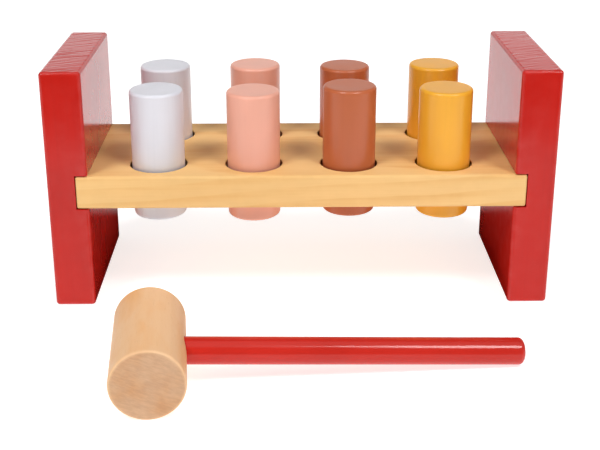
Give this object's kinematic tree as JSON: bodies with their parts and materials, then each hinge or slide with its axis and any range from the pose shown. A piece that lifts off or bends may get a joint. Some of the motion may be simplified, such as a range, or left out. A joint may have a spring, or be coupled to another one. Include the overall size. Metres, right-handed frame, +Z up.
{
  "type": "toy hammer bench",
  "caption": "Toy hammer bench: coloured round pegs slide through a plank between two red end panels, with a wooden mallet to drive them.",
  "frame": {"origin": "on the floor, at the bottom centre of the whole set's box: midway between the end panels and midway between the back of the bench and the front of the hammer, about 10 mm in front of the bench's front face", "axes": "+X to the right along the bench's width, -Y out of the bench's front, +Z up along the pegs"},
  "size_m": [0.25, 0.1964, 0.122],
  "materials": {
    "red_gloss": "smooth opaque red lacquer, glossy",
    "natural_pine": "clear satin varnish over pine with orange grain",
    "hammer_beech": "clear satin varnish over pale beech",
    "dowel_beech": "bare sanded beech",
    "white_paint": "satin white paint",
    "pink_paint": "satin salmon pink paint",
    "brown_paint": "satin terracotta brown paint",
    "yellow_paint": "satin golden yellow paint",
    "black_rubber": "matte black rubber"
  },
  "bodies": {
    "bench": {"bench_plank": "natural_pine", "left_end_panel": "red_gloss", "right_end_panel": "red_gloss", "left_joint_dowels": "dowel_beech", "right_joint_dowels": "dowel_beech", "ring_front_white": "black_rubber", "ring_front_pink": "black_rubber", "ring_front_brown": "black_rubber", "ring_front_yellow": "black_rubber", "ring_back_white": "black_rubber", "ring_back_pink": "black_rubber", "ring_back_brown": "black_rubber", "ring_back_yellow": "black_rubber"},
    "peg_front_white": {"peg_front_white": "white_paint"},
    "peg_front_pink": {"peg_front_pink": "pink_paint"},
    "peg_front_brown": {"peg_front_brown": "brown_paint"},
    "peg_front_yellow": {"peg_front_yellow": "yellow_paint"},
    "peg_back_white": {"peg_back_white": "white_paint"},
    "peg_back_pink": {"peg_back_pink": "pink_paint"},
    "peg_back_brown": {"peg_back_brown": "brown_paint"},
    "peg_back_yellow": {"peg_back_yellow": "yellow_paint"},
    "hammer": {"hammer_head": "hammer_beech", "hammer_handle": "red_gloss"}
  },
  "joints": [
    {"name": "peg_front_white_slide", "type": "slide", "parent": "bench", "child": "peg_front_white", "axis": [0, 0, 1], "range_m": [-0.039, 0.009]},
    {"name": "peg_front_pink_slide", "type": "slide", "parent": "bench", "child": "peg_front_pink", "axis": [0, 0, 1], "range_m": [-0.0382, 0.0098]},
    {"name": "peg_front_brown_slide", "type": "slide", "parent": "bench", "child": "peg_front_brown", "axis": [0, 0, 1], "range_m": [-0.0405, 0.0075]},
    {"name": "peg_front_yellow_slide", "type": "slide", "parent": "bench", "child": "peg_front_yellow", "axis": [0, 0, 1], "range_m": [-0.0392, 0.0088]},
    {"name": "peg_back_white_slide", "type": "slide", "parent": "bench", "child": "peg_back_white", "axis": [0, 0, 1], "range_m": [-0.039, 0.009]},
    {"name": "peg_back_pink_slide", "type": "slide", "parent": "bench", "child": "peg_back_pink", "axis": [0, 0, 1], "range_m": [-0.0394, 0.0086]},
    {"name": "peg_back_brown_slide", "type": "slide", "parent": "bench", "child": "peg_back_brown", "axis": [0, 0, 1], "range_m": [-0.0384, 0.0096]},
    {"name": "peg_back_yellow_slide", "type": "slide", "parent": "bench", "child": "peg_back_yellow", "axis": [0, 0, 1], "range_m": [-0.0392, 0.0088]},
    {"name": "hammer_lift", "type": "slide", "parent": "bench", "child": "hammer", "axis": [0, 0, 1], "range_m": [0, 0.2]}
  ]
}
